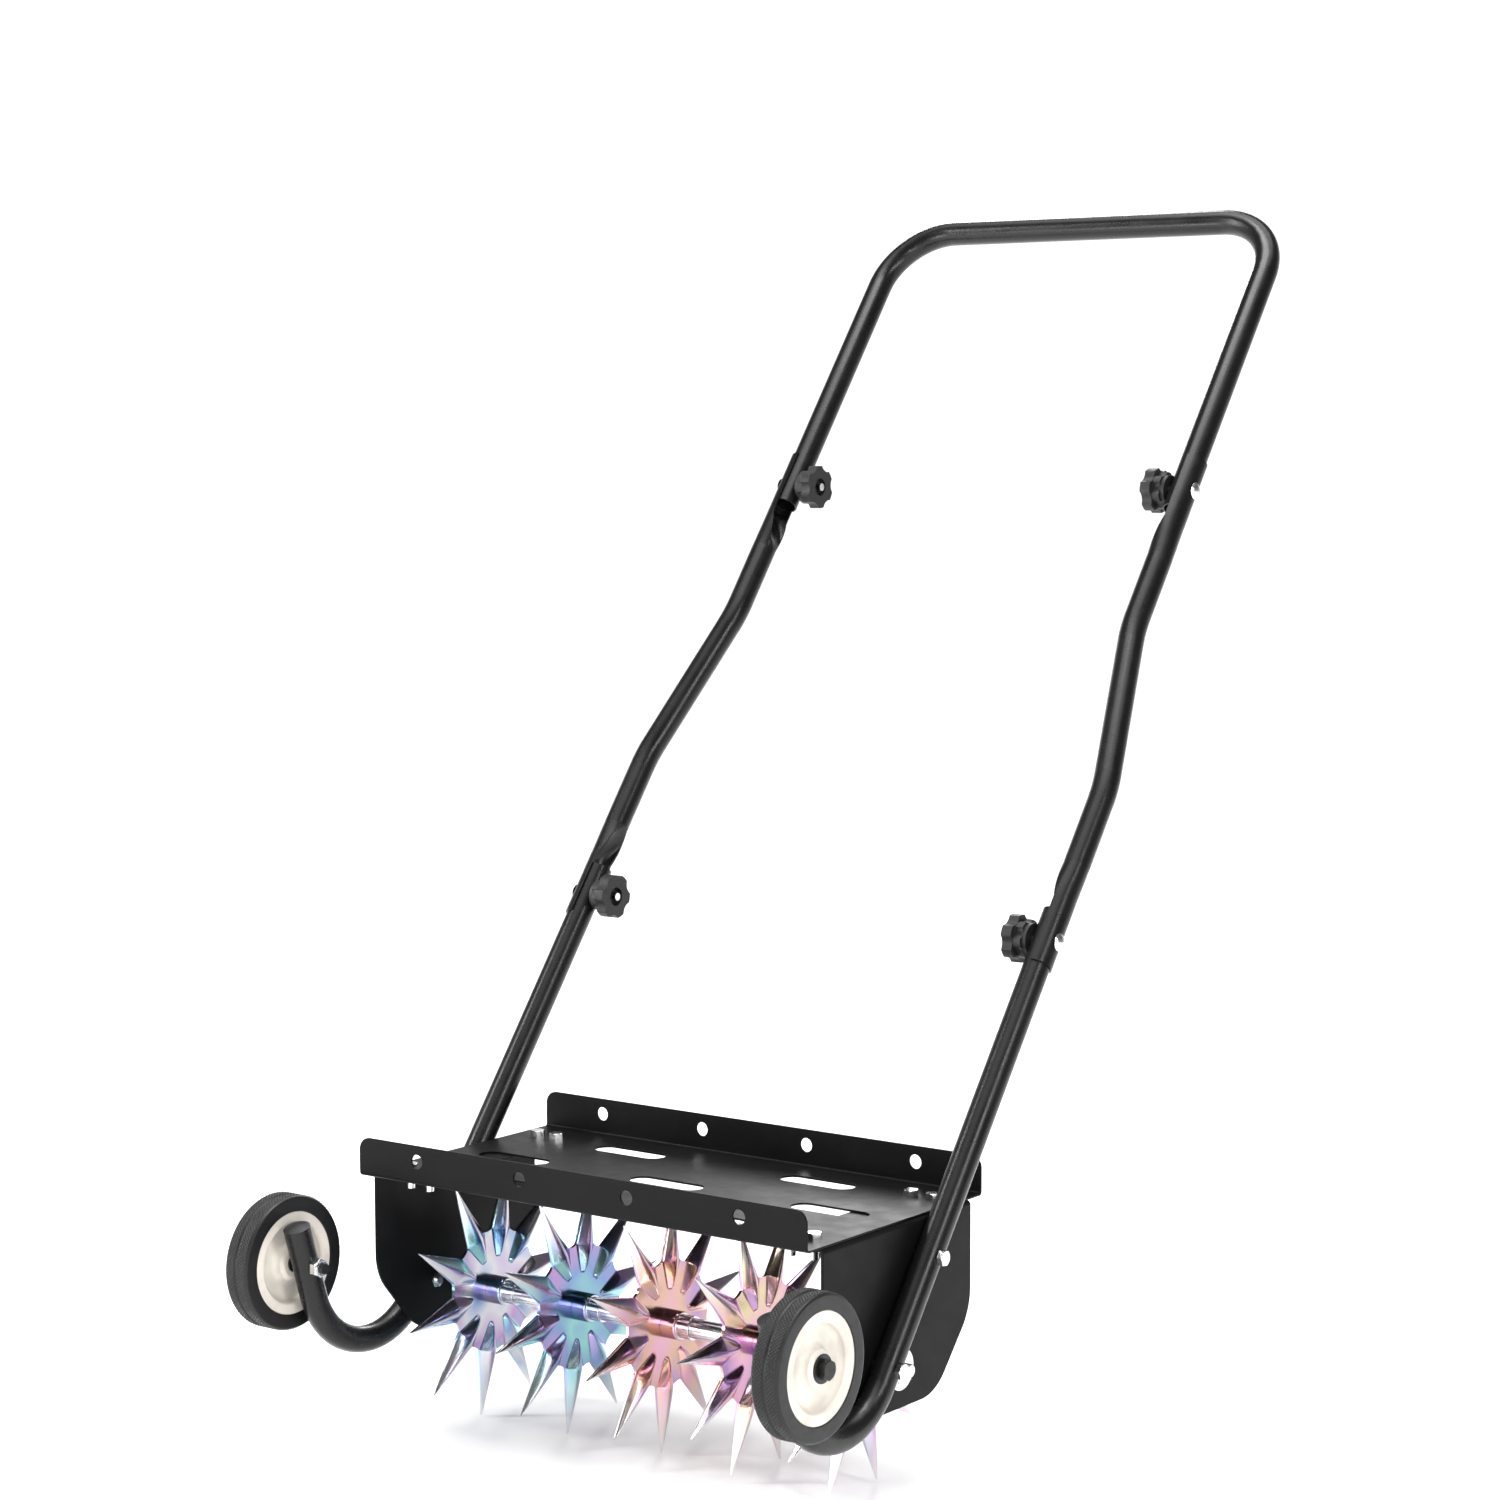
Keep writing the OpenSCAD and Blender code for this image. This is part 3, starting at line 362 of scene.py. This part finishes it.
def star_mesh(name, centre, side, phase, tip_r, top):
    """One pressed plate: flat web, ten hollow ridges running out into spikes."""
    mesh = bmesh.new()
    skins = []

    def corner(r, angle, z):
        y, w = r * math.cos(angle), r * math.sin(angle)
        heights = (z, max(BACK_GAP, z - SHEET))
        return [mesh.verts.new(centre + MM * Vector((side * h, y, w))) for h in heights]

    lines = []
    for k in range(SPIKES):
        turn = phase + 2 * math.pi * k / SPIKES
        for v in ACROSS + CHANNEL:
            own, beyond = (turn, v) if v <= 2 else (turn + 2 * math.pi / SPIKES, v - 4)
            column = []
            for r in WEB_ROWS:
                radius, angle, z = web_point(r, beyond, top)
                column.append(corner(radius, own + angle, z))
            lines.append(column)
    columns = len(lines)
    for i in range(columns):
        a, b = lines[i], lines[(i + 1) % columns]
        for j in range(len(WEB_ROWS) - 1):
            skins.append((a[j], b[j], b[j + 1], a[j + 1]))
    per_spike = columns // SPIKES
    foot = foot_angle(WEB_R)
    for k in range(SPIKES):
        turn = phase + 2 * math.pi * k / SPIKES
        tip = corner(tip_r, turn, RIM_AT_TIP)
        rows = [[lines[k * per_spike + i][-1] for i in range(len(ACROSS))]]
        for step in range(1, SPIKE_ROWS):
            t = step / SPIKE_ROWS
            row = []
            for v in ACROSS:
                base = Vector((WEB_R * math.cos(v * foot), WEB_R * math.sin(v * foot)))
                spot = base.lerp(Vector((tip_r, 0.0)), t)
                rim, crest = SHEET + (RIM_AT_TIP - SHEET) * t, top + (RIM_AT_TIP - top) * t ** CREST_FALL
                z = rim + (crest - rim) * ridge(v)
                row.append(corner(spot.length, turn + math.atan2(spot.y, spot.x), z))
            rows.append(row)
        for low_row, high_row in zip(rows, rows[1:]):
            for i in range(len(ACROSS) - 1):
                skins.append((low_row[i], low_row[i + 1], high_row[i + 1], high_row[i]))
        for i in range(len(ACROSS) - 1):
            skins.append((rows[-1][i], rows[-1][i + 1], tip))
    partner = {}
    for skin in skins:
        for pair in skin:
            partner[pair[0]] = pair[1]
        mesh.faces.new([pair[0] for pair in skin])
    rims = [e for e in mesh.edges if len(e.link_faces) == 1]
    for skin in skins:
        mesh.faces.new([pair[1] for pair in reversed(skin)])
    for edge in rims:
        p, q = edge.verts
        mesh.faces.new((p, q, partner[q], partner[p]))
    for face in mesh.faces:
        face.smooth = True
    bmesh.ops.recalc_face_normals(mesh, faces=mesh.faces)
    return new_object(name, mesh)


def farthest(node, centre):
    """Angle and distance, round the X axis, of the vertex farthest from the centre."""
    spots = [v.co - centre for v in NODES[node].data.vertices]
    tip = max(spots, key=lambda p: math.hypot(p.y, p.z))
    return math.atan2(tip.z, tip.y), math.hypot(tip.y, tip.z) / MM


for number in STAR_NUMBERS:
    centre = JOINT_AT[f"star_{number}_spin"]
    for side, sign in (("left", -1), ("right", 1)):
        node = f"star_{number}_{side}_plate"
        phase, tip_r = farthest(node, centre)
        low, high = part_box(node)
        top = max(high.x - centre.x, centre.x - low.x) / MM
        plate = star_mesh(f"star_plate_{number}_{side}", centre, sign, phase, tip_r, top)
        plate.data.materials.append(MATERIALS[f"zinc_star_{number}"])
        rim = plate.modifiers.new("rolled_rim", "BEVEL")
        rim.width = RIM_ROLL * MM
        rim.segments = 2
        rim.limit_method = "ANGLE"
        rim.angle_limit = RIM_ROLL_ANGLE
        even = plate.modifiers.new("even_shading", "WEIGHTED_NORMAL")
        even.weight = 50
        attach(plate, f"star_{number}")
        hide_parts(node)


# ---------------------------------------------------------------- tyres with a knurled tread

TREAD_PITCH = 3.6 * MM
TREAD_DEPTH = 1.0 * MM
TREAD_SLOPE = 1.9
BAND_INNER = 2.0 * MM
BAND_OUTER = 11.2 * MM
AROUND = 768
BAND_STEPS = 18
SEAT_BELOW_RIM = 3.25 * MM
TYRE_INSET = 0.05 * MM


def groove(t):
    """0 at a groove's middle and 1 half way to the next one."""
    return abs(2 * (t - math.floor(t)) - 1)


def knurl(theta, x, radius):
    """Height of the diamond tread, from 0 in a groove to 1 on a diamond."""
    turns = round(2 * math.pi * radius / TREAD_PITCH)
    u, v = theta / (2 * math.pi) * turns, x / TREAD_PITCH
    return min(1.0, TREAD_SLOPE * min(1 - groove(u + v), 1 - groove(u - v)))


def tyre_section(radius, half, seat):
    """Closed section (radius, across, knurled or not), going round from the seat."""
    edge = radius - 1.0 * MM
    right = [(seat, 0.42 * half, 0), (seat, half - 2.6 * MM, 0), (seat + 3.3 * MM, half - 2.6 * MM, 0),
             (seat + 3.3 * MM, half - 0.4 * MM, 0), (seat + 4.0 * MM, half, 0),
             (edge - 2.4 * MM, half, 0), (edge - 1.2 * MM, half - 0.3 * MM, 0),
             (edge - 0.5 * MM, half - 0.9 * MM, 0), (edge, half - 1.9 * MM, 0),
             (edge + 0.25 * MM, BAND_OUTER + 0.3 * MM, 0)]
    places = [BAND_OUTER + (BAND_INNER - BAND_OUTER) * i / BAND_STEPS for i in range(BAND_STEPS + 1)]
    band = [(radius, place, 1) for place in places]
    floor_of_groove = [(radius - 1.7 * MM, BAND_INNER - 0.4 * MM, 0)]
    half_loop = right + band + floor_of_groove
    return half_loop + [(r, -x, k) for r, x, k in reversed(half_loop)]


def revolve(name, centre, section, around, height):
    """Mesh of a closed section turned about the X axis through the centre."""
    mesh = bmesh.new()
    rings = []
    for i in range(around):
        theta = 2 * math.pi * i / around
        ring = []
        for r, x, knurled in section:
            lift = (height(theta, x) - 1) * TREAD_DEPTH if knurled else 0.0
            spot = Vector((x, (r + lift) * math.cos(theta), (r + lift) * math.sin(theta)))
            ring.append(mesh.verts.new(centre + spot))
        rings.append(ring)
    count = len(section)
    for i in range(around):
        a, b = rings[i], rings[(i + 1) % around]
        for k in range(count):
            n = (k + 1) % count
            mesh.faces.new((a[k], a[n], b[n], b[k])).smooth = True
    bmesh.ops.recalc_face_normals(mesh, faces=mesh.faces)
    return new_object(name, mesh)


for side in SIDES:
    node = f"wheel_{side}_tyre"
    low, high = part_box(node)
    rim_low, rim_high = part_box(f"wheel_{side}_rim")
    radius, half = (high.z - low.z) / 2, (high.x - low.x) / 2
    seat = (rim_high.z - rim_low.z) / 2 - SEAT_BELOW_RIM
    section = tyre_section(radius - TYRE_INSET, half - TYRE_INSET, seat)
    centre = JOINT_AT[f"wheel_{side}_spin"]
    tyre = revolve(f"tyre_{side}", centre, section, AROUND, lambda theta, x: knurl(theta, x, radius))
    tyre.data.materials.append(MATERIALS["black_rubber"])
    even = tyre.modifiers.new("even_shading", "WEIGHTED_NORMAL")
    even.weight = 50
    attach(tyre, f"wheel_{side}")
    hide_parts(node)


# ---------------------------------------------------------------- pressed walls of the middle tubes

# sizes in millimetres
TUBE_R = 12.7
BORE_R = 11.1
TROUGH_IN_R, TROUGH_OUT_R = 12.9, 14.5
SIDE_STEP = 2.8
WALL = 1.5
LINER = 6.0
WALL_STEPS = 24
OPEN_AT_START = math.radians(88)
OPENING_SHARE = 0.99
# which end, distance from its knob bolt to where the wall starts to rise, and how long it rises
PRESSED_ENDS = (("lower", 39.0, 45.0), ("upper", -37.4, -47.0))


def eased(t):
    """0 to 1 with a slow start and a slow end."""
    return t * t * (3 - 2 * t)


def pressed_section(t, b):
    """Point across the wall that closes the tube, lying in the trough at t = 0 and round at t = 1."""
    e = eased(t)
    open_by = OPEN_AT_START + OPENING_SHARE * (math.acos(-t) - math.pi / 2)
    inner = TROUGH_IN_R + (BORE_R - TROUGH_IN_R) * e
    outer = TROUGH_OUT_R + (TUBE_R - TROUGH_OUT_R) * e
    middle_r = (inner + outer) / 2
    turned_out = math.pi + b * (math.pi - open_by)
    turned_in = -b * open_by
    lying_r = inner - WALL / 2 + (middle_r - inner + WALL / 2) * abs(b) ** 6
    x = (1 - e) * lying_r * math.cos(turned_in) + e * middle_r * math.cos(turned_out)
    y = (1 - e) * lying_r * math.sin(turned_in) + e * middle_r * math.sin(turned_out)
    return x + SIDE_STEP * e, y


def pressed_wall(name, bolt, along, sign, start, rise):
    """Sheet from the trough up to the round tube, for the side with this sign."""
    mesh = bmesh.new()
    forward_y = Vector((0.0, along.z, -along.y))
    rows = []
    lining = (0.0, start - math.copysign(LINER, rise))
    climb = [(i / WALL_STEPS, start + rise * i / WALL_STEPS) for i in range(WALL_STEPS + 1)]
    for t, station in [lining] + climb:
        row = []
        for k in range(WALL_STEPS + 1):
            x, y = pressed_section(t, 2 * k / WALL_STEPS - 1)
            spot = bolt + station * MM * along + MM * (sign * x * Vector((1, 0, 0)) + y * forward_y)
            row.append(mesh.verts.new(spot))
        rows.append(row)
    for low_row, high_row in zip(rows, rows[1:]):
        for k in range(WALL_STEPS):
            mesh.faces.new((low_row[k], low_row[k + 1], high_row[k + 1], high_row[k])).smooth = True
    bmesh.ops.recalc_face_normals(mesh, faces=mesh.faces)
    obj = new_object(name, mesh)
    thick = obj.modifiers.new("sheet", "SOLIDIFY")
    thick.thickness, thick.offset = WALL * MM, 0.0
    obj.data.materials.append(MATERIALS["black_tube"])
    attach(obj, "chassis")


handle_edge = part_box("upper_handle")[1].x
leg_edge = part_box("lower_tube_right")[1].x
for side, sign in (("left", -1), ("right", 1)):
    bolts = {end: JOINT_AT[f"knob_{end}_{side}_turn"].copy() for end in ("lower", "upper")}
    along = bolts["upper"] - bolts["lower"]
    along.x = 0.0
    along.normalize()
    bolts["lower"].x = sign * (leg_edge - TUBE_R * MM)
    bolts["upper"].x = sign * (handle_edge - TUBE_R * MM)
    for end, start, rise in PRESSED_ENDS:
        pressed_wall(f"pressed_wall_{end}_{side}", bolts[end], along, sign, start, rise)


# ---------------------------------------------------------------- floor, light and camera

def plane(name, size, mat):
    """Flat square on the ground, reaching this far to each side."""
    mesh = bmesh.new()
    bmesh.ops.create_grid(mesh, x_segments=2, y_segments=2, size=size)
    obj = new_object(name, mesh)
    obj.data.materials.append(mat)
    return obj


FLOOR_REACH = 30.0
BEHIND = (-0.6, 0.8, 0.0)
NEAR_WALL = 0.16
CEILING = 0.14
OVERHEAD = 3.1
OVERHEAD_SPREAD = math.radians(70)

floor = plane("floor", FLOOR_REACH, floor_paper("pale_floor"))

world = bpy.data.worlds.new("studio")
world.use_nodes = True
sky = world.node_tree
looking = add(sky, "ShaderNodeTexCoord").outputs["Generated"]
rising = add(sky, "ShaderNodeSeparateXYZ", {0: looking}).outputs["Z"]
backward = add(sky, "ShaderNodeVectorMath", {0: looking, 1: BEHIND}, operation="DOT_PRODUCT").outputs["Value"]
paper = spread(sky, backward, NEAR_WALL, 1.0, 0.2, 0.8)
low_part = spread(sky, rising, 1.0, 0.0, 0.16, 0.4)
glow = add(sky, "ShaderNodeMath", {0: paper, 1: low_part}, operation="MULTIPLY").outputs[0]
sky_light = add(sky, "ShaderNodeMath", {0: glow, 1: CEILING}, operation="ADD").outputs[0]
sky.links.new(sky_light, sky.nodes["Background"].inputs["Strength"])
sky.nodes["Background"].inputs["Color"].default_value = (1.0, 1.0, 1.0, 1.0)
bpy.context.scene.world = world
bpy.context.scene.view_settings.view_transform = "Standard"

sun = bpy.data.lights.new("overhead", "SUN")
sun.energy = OVERHEAD
sun.angle = OVERHEAD_SPREAD
overhead = bpy.data.objects.new("overhead", sun)
bpy.context.scene.collection.objects.link(overhead)

# name, place, width, height and watts
SOFTBOXES = (
    ("key_left", (-2.6, -1.9, 1.9), 0.5, 2.4, 95),
    ("fill_right", (3.0, -0.9, 1.6), 0.4, 2.4, 55),
    ("rim_back", (-1.6, 2.6, 2.2), 0.6, 2.2, 40),
    ("front_low", (-1.4, -3.4, 0.5), 1.4, 0.5, 46),
    ("front_right", (1.9, -3.0, 0.9), 0.4, 1.4, 30),
    ("top", (0.0, 0.0, 3.3), 1.6, 1.0, 60),
)


def softbox(name, place, aim, width, height, power):
    """Rectangular area light turned towards the aim."""
    light = bpy.data.lights.new(name, "AREA")
    light.shape = "RECTANGLE"
    light.size, light.size_y = width, height
    light.energy = power
    obj = bpy.data.objects.new(name, light)
    obj.location = place
    obj.rotation_mode = "QUATERNION"
    obj.rotation_quaternion = (aim - Vector(place)).to_track_quat("-Z", "Y")
    bpy.context.scene.collection.objects.link(obj)


middle = (CAD_BOX[0] + CAD_BOX[1]) / 2
for name, spot, wide, tall, watts in SOFTBOXES:
    softbox(name, spot, middle, wide, tall, watts)

CAMERA_AZIMUTH = math.radians(36.67)
CAMERA_ELEVATION = math.radians(5.38)
CAMERA_ROLL = math.radians(-0.17)
CAMERA_DISTANCE = 3.137
CAMERA_SIDE = 0.082
CAMERA_RISE = 0.537
CAMERA_LENS = 81.16
SENSOR = 36.0
SHIFT_X, SHIFT_Y = -0.0026, -0.0041

axle = JOINT_AT["star_3_spin"]
a, e = CAMERA_AZIMUTH, CAMERA_ELEVATION
forward = Vector((-math.sin(a) * math.cos(e), math.cos(a) * math.cos(e), -math.sin(e)))
across = Vector((math.cos(a), math.sin(a), 0.0))
upward = across.cross(forward)
place = axle - CAMERA_DISTANCE * forward + CAMERA_SIDE * across + CAMERA_RISE * upward
right = across * math.cos(CAMERA_ROLL) + upward * math.sin(CAMERA_ROLL)
up = upward * math.cos(CAMERA_ROLL) - across * math.sin(CAMERA_ROLL)
camera_data = bpy.data.cameras.new("camera")
camera_data.lens = CAMERA_LENS
camera_data.sensor_width = SENSOR
camera_data.shift_x, camera_data.shift_y = SHIFT_X, SHIFT_Y
camera = bpy.data.objects.new("camera", camera_data)
turn = Matrix((right, up, -forward)).transposed().to_4x4()
camera.matrix_world = Matrix.Translation(place) @ turn
bpy.context.scene.collection.objects.link(camera)
bpy.context.scene.camera = camera
